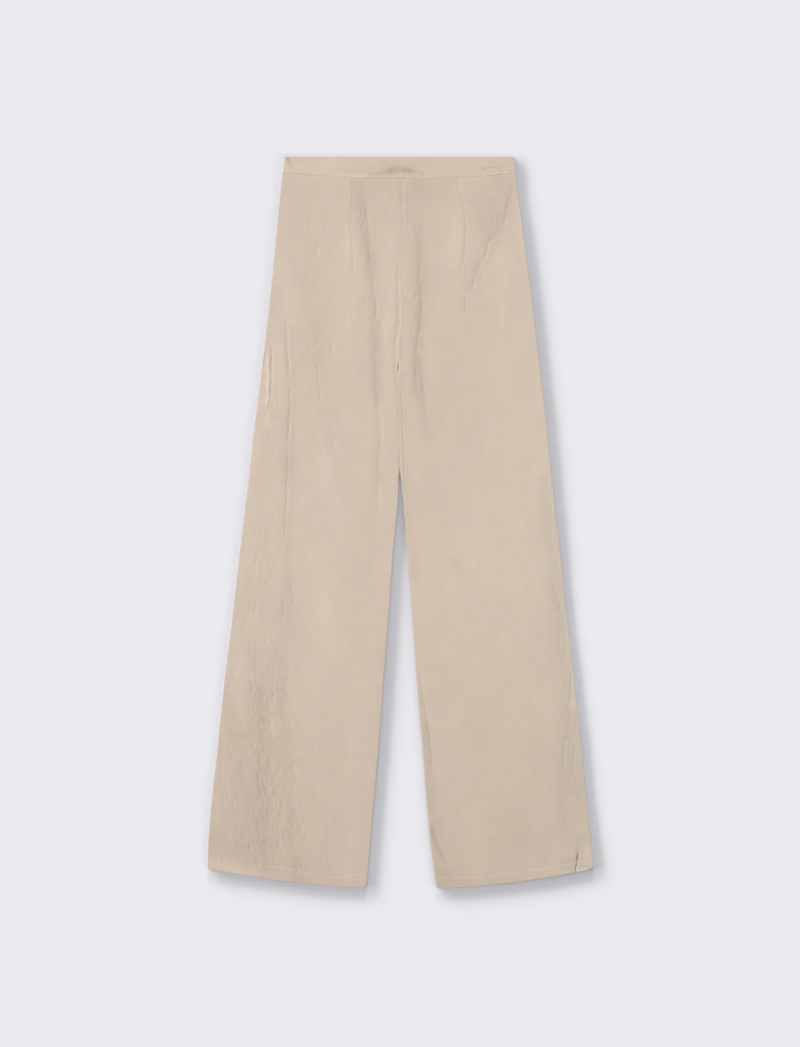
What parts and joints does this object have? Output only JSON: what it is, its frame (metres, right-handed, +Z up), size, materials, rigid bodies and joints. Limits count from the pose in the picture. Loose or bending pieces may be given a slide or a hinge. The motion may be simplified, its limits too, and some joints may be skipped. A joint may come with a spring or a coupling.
{
  "type": "palazzo pants",
  "caption": "Wide-leg trousers of soft plain cloth laid flat with the back up, with a straight waistband, darted back panels and flared legs.",
  "frame": {"origin": "under the middle of the garment, on the surface that it lies on", "axes": "+Y towards the waistband, -Y towards the hems, +X towards the wearer's right leg, +Z up out of the back panels"},
  "size_m": [0.5695, 1.0798, 0.0059],
  "materials": {
    "cloth": "light beige satin-backed cloth, soft low sheen, finely creased",
    "waistband": "the same cloth, doubled and fused, smoother"
  },
  "bodies": {
    "root": {"back_left": "cloth", "back_right": "cloth", "front_left": "cloth", "front_right": "cloth", "waistband_back": "waistband", "waistband_front": "waistband"}
  },
  "joints": []
}
